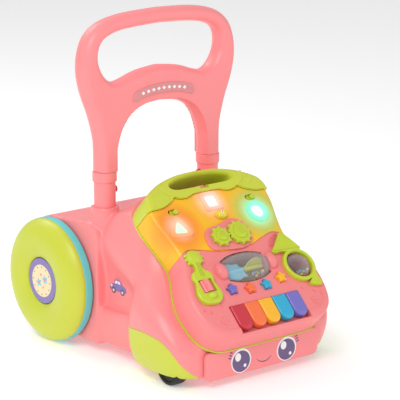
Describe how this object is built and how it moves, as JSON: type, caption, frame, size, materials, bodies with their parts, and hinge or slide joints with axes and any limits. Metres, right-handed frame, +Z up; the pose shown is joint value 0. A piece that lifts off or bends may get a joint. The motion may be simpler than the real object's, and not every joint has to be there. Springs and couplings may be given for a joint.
{
  "type": "baby walker",
  "caption": "Push-along baby walker shaped like a toy car, with a loop handle on two posts and a lift-off activity panel with piano keys, lights, gears, a drum and buttons.",
  "frame": {"origin": "on the floor, under the middle of the walker's box", "axes": "+Z up; -Y forwards, the way the child pushes it; +X to the right-hand side as seen from in front of the panel"},
  "size_m": [0.3, 0.4265, 0.47],
  "materials": {
    "pink_shell": "satin moulded",
    "yellow_shell": "satin moulded",
    "lime_shell": "satin moulded",
    "cyan_tyre": "soft matte ring",
    "purple_cap": "glossy with a printed ring",
    "black_wheel": "matte",
    "axle_steel": "drawn wire",
    "badge": "fine matte",
    "red_button": "glossy",
    "orange_button": "glossy",
    "yellow_button": "glossy",
    "blue_button": "glossy",
    "purple_button": "glossy",
    "sky_plastic": "glossy",
    "clear_plastic": "clear, see-through",
    "red_lens": "translucent, lit from behind",
    "white_lens": "translucent, lit from behind",
    "green_lens": "translucent, lit from behind",
    "board_green": "solder mask",
    "black_plastic": "matte"
  },
  "bodies": {
    "walker": {"body_shell": "pink_shell", "base_plate": "pink_shell", "face_plate": "pink_shell", "wheel_skirt_left": "lime_shell", "wheel_skirt_right": "lime_shell", "rear_axle": "axle_steel", "front_axle": "axle_steel", "post_left": "pink_shell", "post_right": "pink_shell"},
    "left_rear_wheel": {"rear_wheel_left": "lime_shell", "rear_tyre_left": "cyan_tyre", "hub_cap_left": "purple_cap"},
    "right_rear_wheel": {"rear_wheel_right": "lime_shell", "rear_tyre_right": "cyan_tyre", "hub_cap_right": "purple_cap"},
    "left_front_wheel": {"front_wheel_left": "black_wheel"},
    "right_front_wheel": {"front_wheel_right": "black_wheel"},
    "handle": {"handle_front_shell": "pink_shell", "handle_rear_shell": "pink_shell", "handle_badge": "badge"},
    "left_post_button": {"post_button_left": "red_button"},
    "right_post_button": {"post_button_right": "red_button"},
    "panel": {"panel_upper_fascia": "yellow_shell", "panel_lower_fascia": "pink_shell", "panel_carry_cap": "lime_shell", "panel_back_shell": "lime_shell", "triangle_bezel": "lime_shell", "square_bezel": "pink_shell", "round_bezel": "sky_plastic", "triangle_lens": "red_lens", "square_lens": "white_lens", "round_lens": "green_lens", "gear_plate": "pink_shell", "bird_figure": "yellow_shell", "guitar_body": "lime_shell", "horn_body": "lime_shell", "circuit_board": "board_green", "speaker": "black_plastic", "battery_pack": "black_plastic", "battery_cover": "lime_shell"},
    "large_gear": {"gear_large": "lime_shell"},
    "small_gear": {"gear_small": "lime_shell"},
    "roller": {"guitar_roller": "pink_shell"},
    "drum": {"drum_shell": "clear_plastic", "drum_shaft": "pink_shell", "drum_vanes_blue": "sky_plastic", "drum_vane_green": "lime_shell"},
    "ball": {"horn_ball": "clear_plastic"},
    "release": {"panel_release_button": "pink_shell"},
    "light_slider": {"light_switch": "lime_shell"},
    "sound_slider": {"sound_switch": "lime_shell"},
    "red_key": {"key_red": "red_button"},
    "orange_key": {"key_orange": "orange_button"},
    "yellow_key": {"key_yellow": "yellow_button"},
    "blue_key": {"key_blue": "blue_button"},
    "purple_key": {"key_purple": "purple_button"},
    "purple_star": {"star_button_purple": "purple_button"},
    "orange_star": {"star_button_orange": "orange_button"},
    "blue_star": {"star_button_blue": "blue_button"},
    "yellow_star": {"star_button_yellow": "yellow_button"}
  },
  "joints": [
    {"name": "left_rear_wheel_spin", "type": "hinge", "parent": "walker", "child": "left_rear_wheel", "pos_m": [0, 0.12425, 0.088], "axis": [1, 0, 0], "continuous": true},
    {"name": "right_rear_wheel_spin", "type": "hinge", "parent": "walker", "child": "right_rear_wheel", "pos_m": [0, 0.12425, 0.088], "axis": [1, 0, 0], "continuous": true},
    {"name": "left_front_wheel_spin", "type": "hinge", "parent": "walker", "child": "left_front_wheel", "pos_m": [0, -0.13375, 0.024], "axis": [1, 0, 0], "continuous": true},
    {"name": "right_front_wheel_spin", "type": "hinge", "parent": "walker", "child": "right_front_wheel", "pos_m": [0, -0.13375, 0.024], "axis": [1, 0, 0], "continuous": true},
    {"name": "handle_lift", "type": "slide", "parent": "walker", "child": "handle", "axis": [0, 0, 1], "range_m": [0, 0.045]},
    {"name": "left_post_button_press", "type": "slide", "parent": "walker", "child": "left_post_button", "axis": [-1, 0, 0], "range_m": [0, 0.003], "stiffness_N_per_m": 120, "springref_m": -0.002},
    {"name": "right_post_button_press", "type": "slide", "parent": "walker", "child": "right_post_button", "axis": [1, 0, 0], "range_m": [0, 0.003], "stiffness_N_per_m": 120, "springref_m": -0.002},
    {"name": "panel_lift", "type": "slide", "parent": "walker", "child": "panel", "axis": [0, -0.7009, 0.7133], "range_m": [0, 0.06]},
    {"name": "large_gear_spin", "type": "hinge", "parent": "panel", "child": "large_gear", "pos_m": [0.014, -0.11353, 0.17843], "axis": [0, -0.7009, 0.7133], "continuous": true},
    {"name": "small_gear_spin", "type": "hinge", "parent": "panel", "child": "small_gear", "pos_m": [-0.018, -0.11353, 0.17843], "axis": [0, -0.7009, 0.7133], "continuous": true},
    {"name": "roller_spin", "type": "hinge", "parent": "panel", "child": "roller", "pos_m": [-0.08, -0.15976, 0.13132], "axis": [0, 0.7133, 0.7009], "continuous": true},
    {"name": "drum_spin", "type": "hinge", "parent": "panel", "child": "drum", "pos_m": [0, -0.14111, 0.13731], "axis": [1, 0, 0], "continuous": true},
    {"name": "ball_spin", "type": "hinge", "parent": "panel", "child": "ball", "pos_m": [0.083, -0.15428, 0.12717], "axis": [1, 0, 0], "continuous": true},
    {"name": "red_key_press", "type": "hinge", "parent": "panel", "child": "red_key", "pos_m": [-0.048, -0.18324, 0.10642], "axis": [1, 0, 0], "range_deg": [0, 3.5], "stiffness_Nm_per_rad": 0.05, "springref_deg": -5.73},
    {"name": "orange_key_press", "type": "hinge", "parent": "panel", "child": "orange_key", "pos_m": [-0.024, -0.18324, 0.10642], "axis": [1, 0, 0], "range_deg": [0, 3.5], "stiffness_Nm_per_rad": 0.05, "springref_deg": -5.73},
    {"name": "yellow_key_press", "type": "hinge", "parent": "panel", "child": "yellow_key", "pos_m": [0, -0.18324, 0.10642], "axis": [1, 0, 0], "range_deg": [0, 3.5], "stiffness_Nm_per_rad": 0.05, "springref_deg": -5.73},
    {"name": "blue_key_press", "type": "hinge", "parent": "panel", "child": "blue_key", "pos_m": [0.024, -0.18324, 0.10642], "axis": [1, 0, 0], "range_deg": [0, 3.5], "stiffness_Nm_per_rad": 0.05, "springref_deg": -5.73},
    {"name": "purple_key_press", "type": "hinge", "parent": "panel", "child": "purple_key", "pos_m": [0.048, -0.18324, 0.10642], "axis": [1, 0, 0], "range_deg": [0, 3.5], "stiffness_Nm_per_rad": 0.05, "springref_deg": -5.73},
    {"name": "purple_star_press", "type": "slide", "parent": "panel", "child": "purple_star", "axis": [0, 0.7009, -0.7133], "range_m": [0, 0.0025], "stiffness_N_per_m": 120, "springref_m": -0.002},
    {"name": "orange_star_press", "type": "slide", "parent": "panel", "child": "orange_star", "axis": [0, 0.7009, -0.7133], "range_m": [0, 0.0025], "stiffness_N_per_m": 120, "springref_m": -0.002},
    {"name": "blue_star_press", "type": "slide", "parent": "panel", "child": "blue_star", "axis": [0, 0.7009, -0.7133], "range_m": [0, 0.0025], "stiffness_N_per_m": 120, "springref_m": -0.002},
    {"name": "yellow_star_press", "type": "slide", "parent": "panel", "child": "yellow_star", "axis": [0, 0.7009, -0.7133], "range_m": [0, 0.0025], "stiffness_N_per_m": 120, "springref_m": -0.002},
    {"name": "light_switch_slide", "type": "slide", "parent": "panel", "child": "light_slider", "axis": [1, 0, 0], "range_m": [-0.008, 0]},
    {"name": "sound_switch_slide", "type": "slide", "parent": "panel", "child": "sound_slider", "axis": [1, 0, 0], "range_m": [-0.008, 0]},
    {"name": "release_press", "type": "slide", "parent": "panel", "child": "release", "axis": [0, -0.7133, -0.7009], "range_m": [0, 0.0024], "stiffness_N_per_m": 120, "springref_m": -0.002}
  ],
  "couplings": [
    {"joint": "small_gear_spin", "follows": "large_gear_spin", "ratio": -1.2222}
  ]
}
